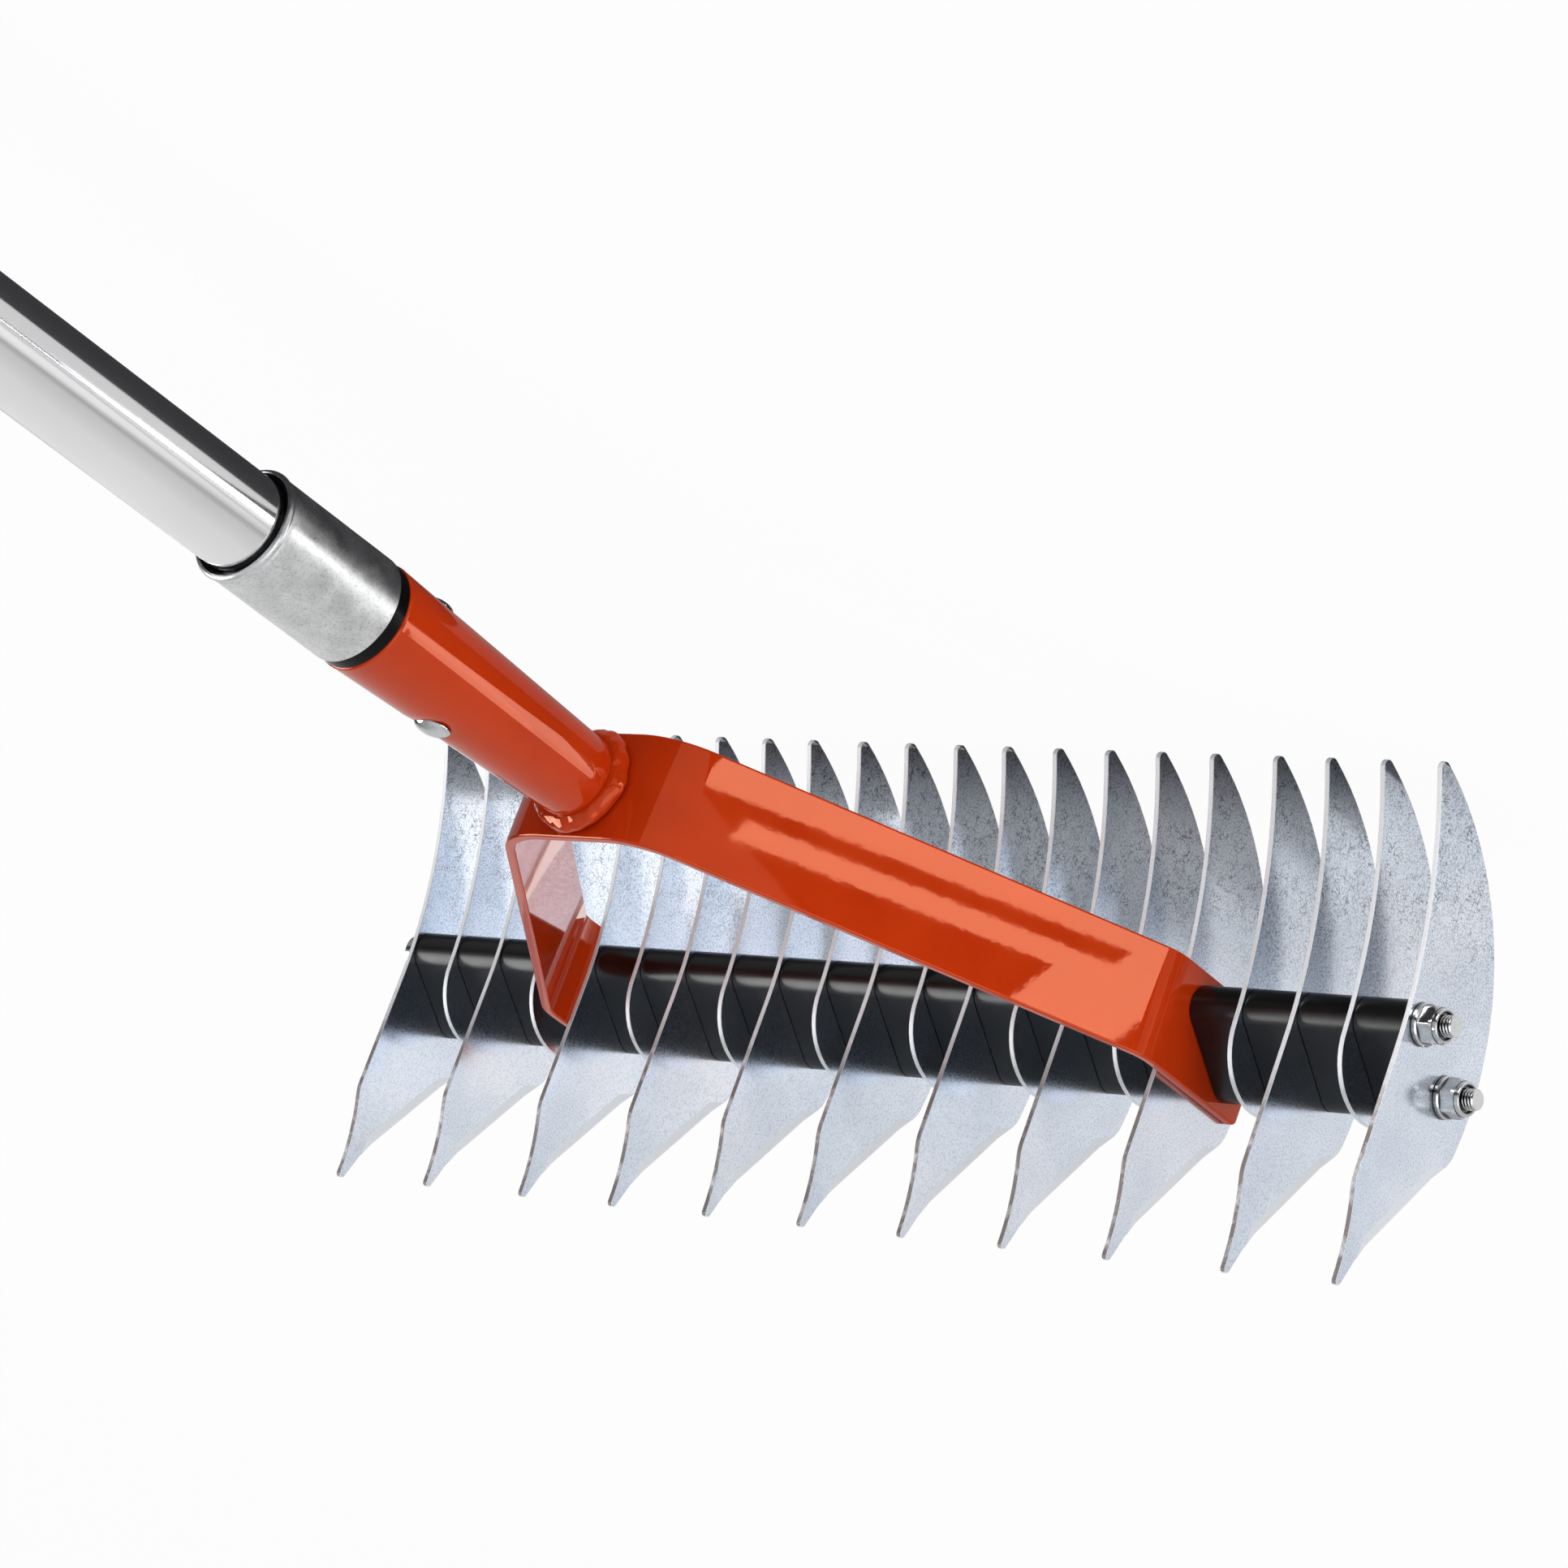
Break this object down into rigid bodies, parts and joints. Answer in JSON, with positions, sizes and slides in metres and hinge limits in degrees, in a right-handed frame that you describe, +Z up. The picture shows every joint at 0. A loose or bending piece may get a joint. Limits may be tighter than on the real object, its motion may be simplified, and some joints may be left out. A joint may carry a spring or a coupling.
{
  "type": "thatch rake",
  "caption": "Double-sided thatch rake: a row of sickle and knife blades with black spacers on through bolts, an orange flat-bar bow with a welded socket, and a long steel tube handle.",
  "frame": {"origin": "on the surface the rake lies on, below the middle of its outline", "axes": "+X along the row of blades towards the bolts' heads, +Y from the grip towards the blades, +Z up from the surface, with the sickle teeth down and the knife teeth up"},
  "size_m": [0.3938, 1.512, 0.1422],
  "materials": {
    "blade_zinc": "zinc-coated sheet with fine spangle",
    "spacer_plastic": "satin",
    "fastener_zinc": "bright zinc",
    "orange_paint": "gloss powder coat",
    "coupling_plastic": "gloss",
    "collar_zinc": "galvanised",
    "tube_steel": "polished stainless",
    "grip_rubber": "matt",
    "cap_plastic": "satin"
  },
  "bodies": {
    "root": {"long_blade_1": "blade_zinc", "long_blade_2": "blade_zinc", "long_blade_3": "blade_zinc", "long_blade_4": "blade_zinc", "long_blade_5": "blade_zinc", "long_blade_6": "blade_zinc", "long_blade_7": "blade_zinc", "long_blade_8": "blade_zinc", "long_blade_9": "blade_zinc", "long_blade_10": "blade_zinc", "long_blade_11": "blade_zinc", "short_blade_1": "blade_zinc", "short_blade_2": "blade_zinc", "short_blade_3": "blade_zinc", "short_blade_4": "blade_zinc", "short_blade_5": "blade_zinc", "short_blade_6": "blade_zinc", "short_blade_7": "blade_zinc", "short_blade_8": "blade_zinc", "short_blade_9": "blade_zinc", "short_blade_10": "blade_zinc", "spacer_1": "spacer_plastic", "spacer_2": "spacer_plastic", "spacer_3": "spacer_plastic", "spacer_4": "spacer_plastic", "spacer_5": "spacer_plastic", "spacer_6": "spacer_plastic", "spacer_7": "spacer_plastic", "spacer_8": "spacer_plastic", "spacer_9": "spacer_plastic", "spacer_10": "spacer_plastic", "spacer_11": "spacer_plastic", "spacer_12": "spacer_plastic", "spacer_13": "spacer_plastic", "spacer_14": "spacer_plastic", "spacer_15": "spacer_plastic", "spacer_16": "spacer_plastic", "spacer_17": "spacer_plastic", "spacer_18": "spacer_plastic", "spacer_19": "spacer_plastic", "spacer_20": "spacer_plastic", "front_bolt": "fastener_zinc", "rear_bolt": "fastener_zinc", "bolt_washers": "fastener_zinc", "lock_nuts": "fastener_zinc", "bow": "orange_paint", "weld_bead": "orange_paint", "socket": "orange_paint", "socket_screws": "fastener_zinc", "coupling": "coupling_plastic", "collar": "collar_zinc", "handle_tube": "tube_steel", "grip": "grip_rubber", "end_cap": "cap_plastic"}
  },
  "joints": []
}
